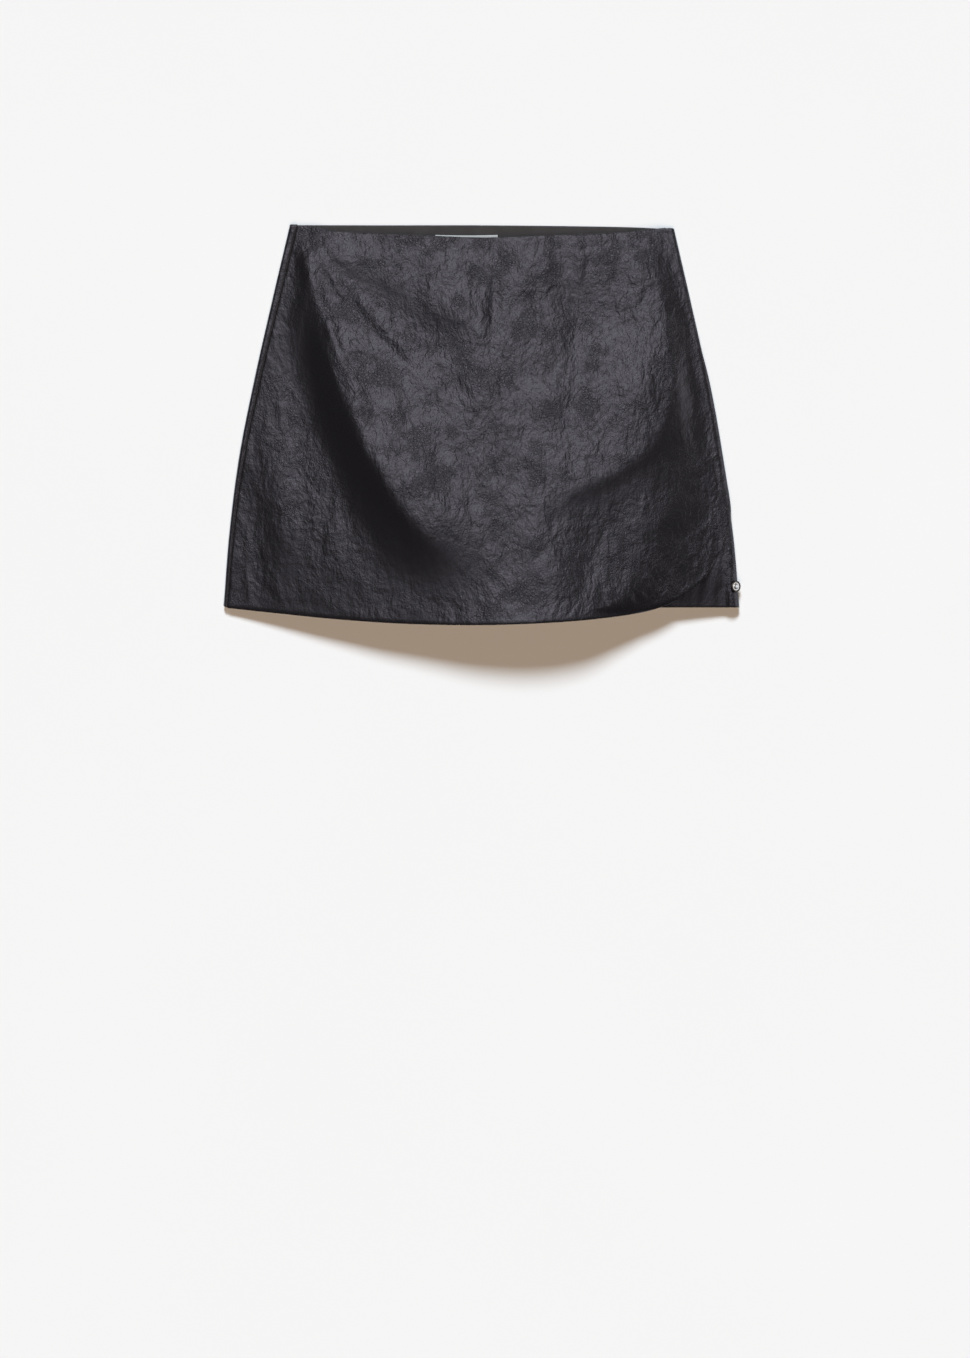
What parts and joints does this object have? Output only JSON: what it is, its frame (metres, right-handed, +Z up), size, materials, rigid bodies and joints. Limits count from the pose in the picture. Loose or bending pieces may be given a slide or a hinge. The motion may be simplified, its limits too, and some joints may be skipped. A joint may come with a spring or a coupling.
{
  "type": "faux leather skort laid flat",
  "caption": "Mini skort in smooth black leathercloth, laid flat: a wrap front with a big rounded corner lies over short legs, waist and leg openings standing open.",
  "frame": {"origin": "middle of the garment's footprint, on the surface that it lies on", "axes": "+X across the garment to its right as seen from above, +Y from hem to waist, +Z up from the surface"},
  "size_m": [0.5027, 0.3904, 0.043],
  "materials": {
    "leathercloth": "black faux leather with a fine pebbled and crackled grain, satin with glossier patches",
    "facing": "matte charcoal facing cloth",
    "label": "blank off-white woven label",
    "stud": "silver cap with a darkened groove"
  },
  "bodies": {
    "root": {"wrap_front": "leathercloth", "shorts_front_left": "leathercloth", "shorts_front_right": "leathercloth", "back_left": "leathercloth", "back_right": "leathercloth", "back_facing": "facing", "label": "label", "stud_cap": "stud"}
  },
  "joints": []
}
